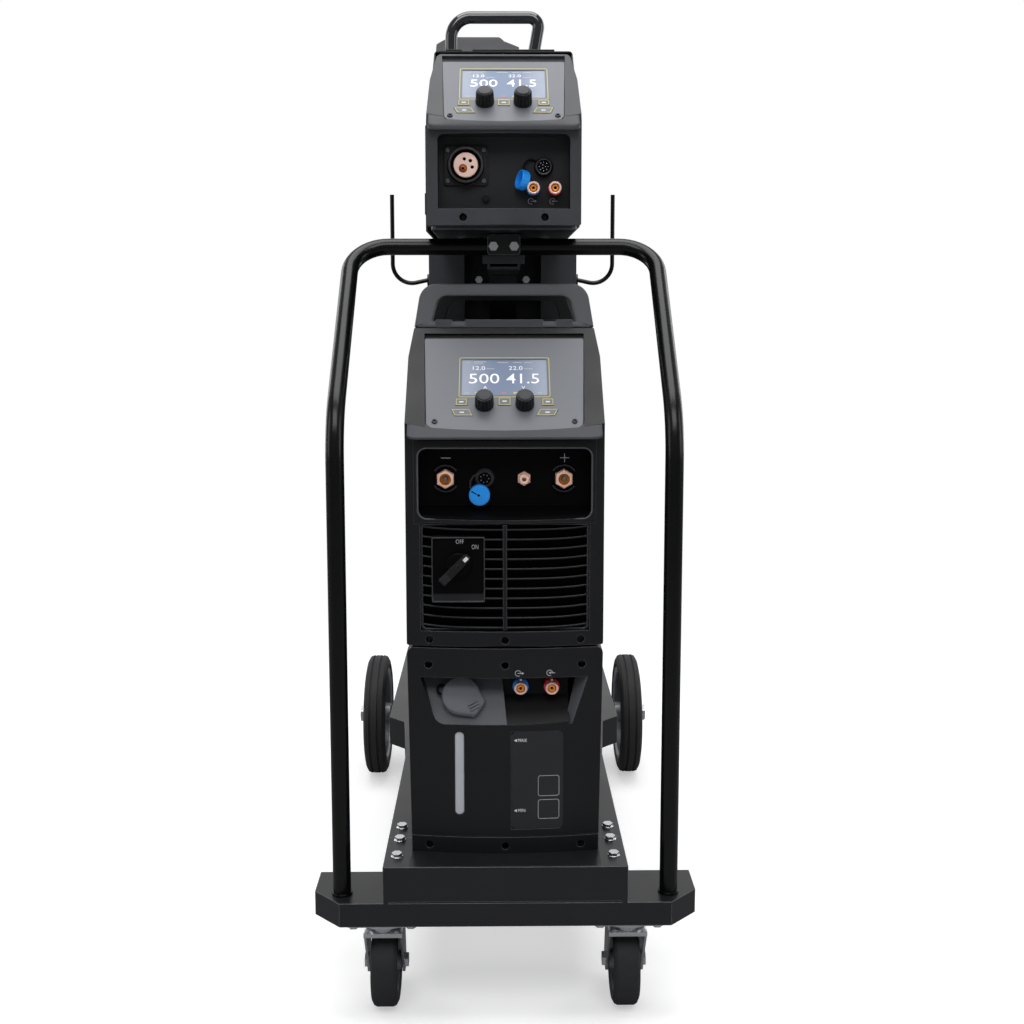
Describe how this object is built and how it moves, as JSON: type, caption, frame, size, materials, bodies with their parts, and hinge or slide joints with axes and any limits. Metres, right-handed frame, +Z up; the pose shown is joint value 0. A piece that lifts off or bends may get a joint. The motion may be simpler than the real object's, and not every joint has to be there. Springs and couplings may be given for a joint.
{
  "type": "welding machine on cart",
  "caption": "Wire welding power source on a coolant unit, with a swivelling wire feeder, on a tall wheeled cart with a push hoop and a bottle platform.",
  "frame": {"origin": "centre of the floor area that the cart covers, at floor level", "axes": "+X to the right seen from the control panels, +Y from the front bumper to the rear wheels, +Z up"},
  "size_m": [0.6186, 1.13, 1.457],
  "materials": {
    "powder_black": "satin black powder coat",
    "steel_zinc": "zinc plated steel",
    "rubber_black": "black rubber",
    "tyre_black": "black solid rubber",
    "hub_grey": "grey wheel hub",
    "housing_grey": "dark grey powder coat",
    "bezel_grey": "grey moulded plastic",
    "panel_grey": "light grey panel",
    "display_glass": "glossy display cover",
    "black_plastic": "black plastic",
    "grey_keys": "silicone keypad",
    "brass": "brass contacts",
    "blue_plastic": "couplings and caps",
    "tank_white": "translucent tank",
    "aluminium": "cast and extruded aluminium",
    "wire_steel": "copper-coated steel wire"
  },
  "bodies": {
    "cart": {"front_bumper": "powder_black", "machine_tray": "powder_black", "bottle_platform": "powder_black", "rear_axle": "steel_zinc", "column": "powder_black", "feeder_beam": "powder_black", "push_hoop": "powder_black", "hoop_clamp": "powder_black", "cable_hooks": "powder_black", "frame_bolts": "steel_zinc", "caster_plates": "steel_zinc", "cooler_housing": "housing_grey", "cooler_front": "bezel_grey", "coolant_tank": "tank_white", "coolant_pump": "aluminium", "coolant_fittings": "blue_plastic", "source_housing": "housing_grey", "source_bezel": "bezel_grey", "source_bay": "black_plastic", "source_handle": "bezel_grey", "louvre_grille": "black_plastic", "switch_plate": "black_plastic", "source_sockets": "brass", "rear_bezel": "bezel_grey", "inverter_block": "aluminium", "source_panel": "panel_grey", "source_display": "display_glass"},
    "caster_swivel_left": {"caster_fork_left": "steel_zinc"},
    "caster_swivel_right": {"caster_fork_right": "steel_zinc"},
    "caster_wheel_left": {"caster_tyre_left": "rubber_black", "caster_hub_left": "hub_grey"},
    "caster_wheel_right": {"caster_tyre_right": "rubber_black", "caster_hub_right": "hub_grey"},
    "rear_wheel_left": {"rear_tyre_left": "tyre_black", "rear_rim_left": "steel_zinc"},
    "rear_wheel_right": {"rear_tyre_right": "tyre_black", "rear_rim_right": "steel_zinc"},
    "coolant_cap": {"filler_cap": "black_plastic"},
    "mains_switch": {"power_switch": "black_plastic"},
    "fan": {"cooling_fan": "black_plastic"},
    "source_dial_left": {"source_knob_left": "black_plastic"},
    "source_dial_right": {"source_knob_right": "black_plastic"},
    "source_keys": {"source_keypad": "grey_keys"},
    "feeder": {"feeder_base": "powder_black", "feeder_housing": "housing_grey", "feeder_bezel": "bezel_grey", "torch_socket": "brass", "feeder_fittings": "blue_plastic", "feeder_handle": "powder_black", "wire_drive": "aluminium", "feeder_panel": "panel_grey", "feeder_display": "display_glass"},
    "feeder_dial_left": {"feeder_knob_left": "black_plastic"},
    "feeder_dial_right": {"feeder_knob_right": "black_plastic"},
    "feeder_keys": {"feeder_keypad": "grey_keys"},
    "gas_test": {"gas_button": "steel_zinc"},
    "door": {"feeder_door": "bezel_grey"},
    "spool": {"wire_spool": "wire_steel"},
    "roll": {"drive_roll": "steel_zinc"},
    "arm": {"pressure_arm": "black_plastic"}
  },
  "joints": [
    {"name": "caster_swivel_left", "type": "hinge", "parent": "cart", "child": "caster_swivel_left", "pos_m": [-0.172, -0.5165, 0.13], "axis": [0, 0, 1], "continuous": true},
    {"name": "caster_roll_left", "type": "hinge", "parent": "caster_swivel_left", "child": "caster_wheel_left", "pos_m": [-0.172, -0.4855, 0.0625], "axis": [1, 0, 0], "continuous": true},
    {"name": "rear_roll_left", "type": "hinge", "parent": "cart", "child": "rear_wheel_left", "pos_m": [-0.27, 0.418, 0.125], "axis": [1, 0, 0], "continuous": true},
    {"name": "caster_swivel_right", "type": "hinge", "parent": "cart", "child": "caster_swivel_right", "pos_m": [0.172, -0.5165, 0.13], "axis": [0, 0, 1], "continuous": true},
    {"name": "caster_roll_right", "type": "hinge", "parent": "caster_swivel_right", "child": "caster_wheel_right", "pos_m": [0.172, -0.4855, 0.0625], "axis": [1, 0, 0], "continuous": true},
    {"name": "rear_roll_right", "type": "hinge", "parent": "cart", "child": "rear_wheel_right", "pos_m": [0.27, 0.418, 0.125], "axis": [1, 0, 0], "continuous": true},
    {"name": "cap_turn", "type": "hinge", "parent": "cart", "child": "coolant_cap", "pos_m": [-0.062, -0.4945, 0.4585], "axis": [0, -0.8301, 0.5576], "range_deg": [0, 70]},
    {"name": "mains_turn", "type": "hinge", "parent": "cart", "child": "mains_switch", "pos_m": [-0.064, -0.521, 0.652], "axis": [0, 1, 0], "range_deg": [-45, 0]},
    {"name": "fan_spin", "type": "hinge", "parent": "cart", "child": "fan", "pos_m": [0, 0.051, 0.777], "axis": [0, 1, 0], "continuous": true},
    {"name": "source_dial_left", "type": "hinge", "parent": "cart", "child": "source_dial_left", "pos_m": [-0.028, -0.48094, 0.87106], "axis": [0, -0.7071, 0.7071], "continuous": true},
    {"name": "source_dial_right", "type": "hinge", "parent": "cart", "child": "source_dial_right", "pos_m": [0.028, -0.48094, 0.87106], "axis": [0, -0.7071, 0.7071], "continuous": true},
    {"name": "source_keys_press", "type": "slide", "parent": "cart", "child": "source_keys", "axis": [0, 0.7071, -0.7071], "range_m": [0, 0.0006], "stiffness_N_per_m": 900, "springref_m": -0.001},
    {"name": "feeder_dial_left", "type": "hinge", "parent": "feeder", "child": "feeder_dial_left", "pos_m": [-0.027, -0.38259, 1.29441], "axis": [0, -0.7071, 0.7071], "continuous": true},
    {"name": "feeder_dial_right", "type": "hinge", "parent": "feeder", "child": "feeder_dial_right", "pos_m": [0.027, -0.38259, 1.29441], "axis": [0, -0.7071, 0.7071], "continuous": true},
    {"name": "feeder_keys_press", "type": "slide", "parent": "feeder", "child": "feeder_keys", "axis": [0, 0.7071, -0.7071], "range_m": [0, 0.0006], "stiffness_N_per_m": 900, "springref_m": -0.001},
    {"name": "feeder_swivel", "type": "hinge", "parent": "cart", "child": "feeder", "pos_m": [0, -0.135, 1.113], "axis": [0, 0, 1], "range_deg": [-45, 45]},
    {"name": "gas_test_press", "type": "slide", "parent": "feeder", "child": "gas_test", "axis": [0, 1, 0], "range_m": [0, 0.002], "stiffness_N_per_m": 300, "springref_m": -0.002},
    {"name": "door_open", "type": "hinge", "parent": "feeder", "child": "door", "pos_m": [0.034, -0.02, 1.392], "axis": [0, 1, 0], "range_deg": [0, 75]},
    {"name": "spool_turn", "type": "hinge", "parent": "feeder", "child": "spool", "pos_m": [-0.053, -0.02, 1.28], "axis": [1, 0, 0], "continuous": true},
    {"name": "roll_turn", "type": "hinge", "parent": "feeder", "child": "roll", "pos_m": [-0.0585, -0.265, 1.1824], "axis": [1, 0, 0], "continuous": true},
    {"name": "arm_lift", "type": "hinge", "parent": "feeder", "child": "arm", "pos_m": [-0.0585, -0.31, 1.231], "axis": [1, 0, 0], "range_deg": [0, 60]}
  ]
}
